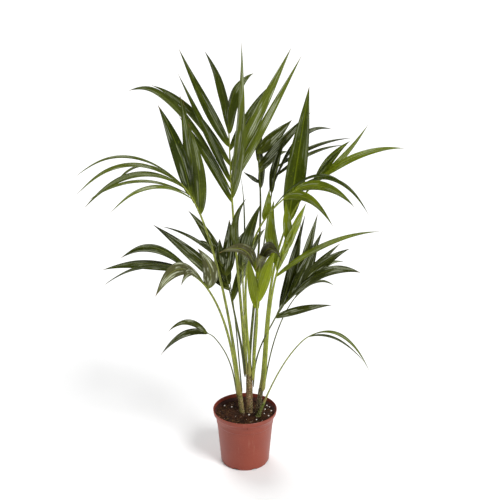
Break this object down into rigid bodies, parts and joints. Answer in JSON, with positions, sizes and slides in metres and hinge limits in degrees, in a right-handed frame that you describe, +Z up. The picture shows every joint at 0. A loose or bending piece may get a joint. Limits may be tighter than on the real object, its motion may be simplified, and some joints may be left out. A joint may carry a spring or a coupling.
{
  "type": "potted kentia palm",
  "caption": "Young palm with arching pinnate fronds on slim ringed stems, planted in a round tapered nursery pot filled with soil.",
  "frame": {"origin": "centre of the pot's underside, on the surface the pot stands on", "axes": "+Z up along the pot's axis, +X to the right and +Y to the back when the plant is seen from its front"},
  "size_m": [0.8863, 0.5005, 1.23],
  "materials": {
    "terracotta_plastic": "satin moulded polypropylene",
    "soil": "moist crumbly potting mix",
    "grain": "matt white perlite and slow-release feed",
    "pale_stem": "pale ringed stem",
    "tan_stem": "tan ringed and speckled stem",
    "dark_stem": "dark ringed stem",
    "green_stem": "smooth green shoot",
    "leaf_deep": "waxy deep green leaf",
    "leaf_dark": "glossy dark green leaf",
    "leaf_olive": "matt olive green leaf underside",
    "leaf_lime": "backlit lime green leaf",
    "leaf_bright": "young bright green leaf"
  },
  "bodies": {
    "root": {"grow_pot": "terracotta_plastic", "potting_soil": "soil", "left_stem": "pale_stem", "centre_stem": "tan_stem", "right_stem": "dark_stem", "front_stem": "green_stem", "centre_frond_tall": "leaf_deep", "left_frond_fountain": "leaf_deep", "left_frond_low": "leaf_olive", "centre_frond_left": "leaf_dark", "left_frond_thin": "leaf_dark", "centre_frond_lime": "leaf_lime", "right_frond_bright": "leaf_bright", "centre_frond_glossy": "leaf_dark", "right_frond_thin": "leaf_dark", "centre_frond_dark": "leaf_dark", "right_frond_tall": "leaf_bright", "centre_frond_arching": "leaf_bright", "centre_frond_slim": "leaf_olive", "left_frond_small": "leaf_dark", "front_frond_small": "leaf_deep", "centre_frond_narrow": "leaf_dark", "soil_grain_1": "grain", "soil_grain_2": "grain", "soil_grain_3": "grain", "soil_grain_4": "grain", "soil_grain_5": "grain", "soil_grain_6": "grain", "soil_grain_7": "grain", "soil_grain_8": "grain", "soil_grain_9": "grain", "soil_grain_10": "grain", "soil_grain_11": "grain", "soil_grain_12": "grain"}
  },
  "joints": []
}
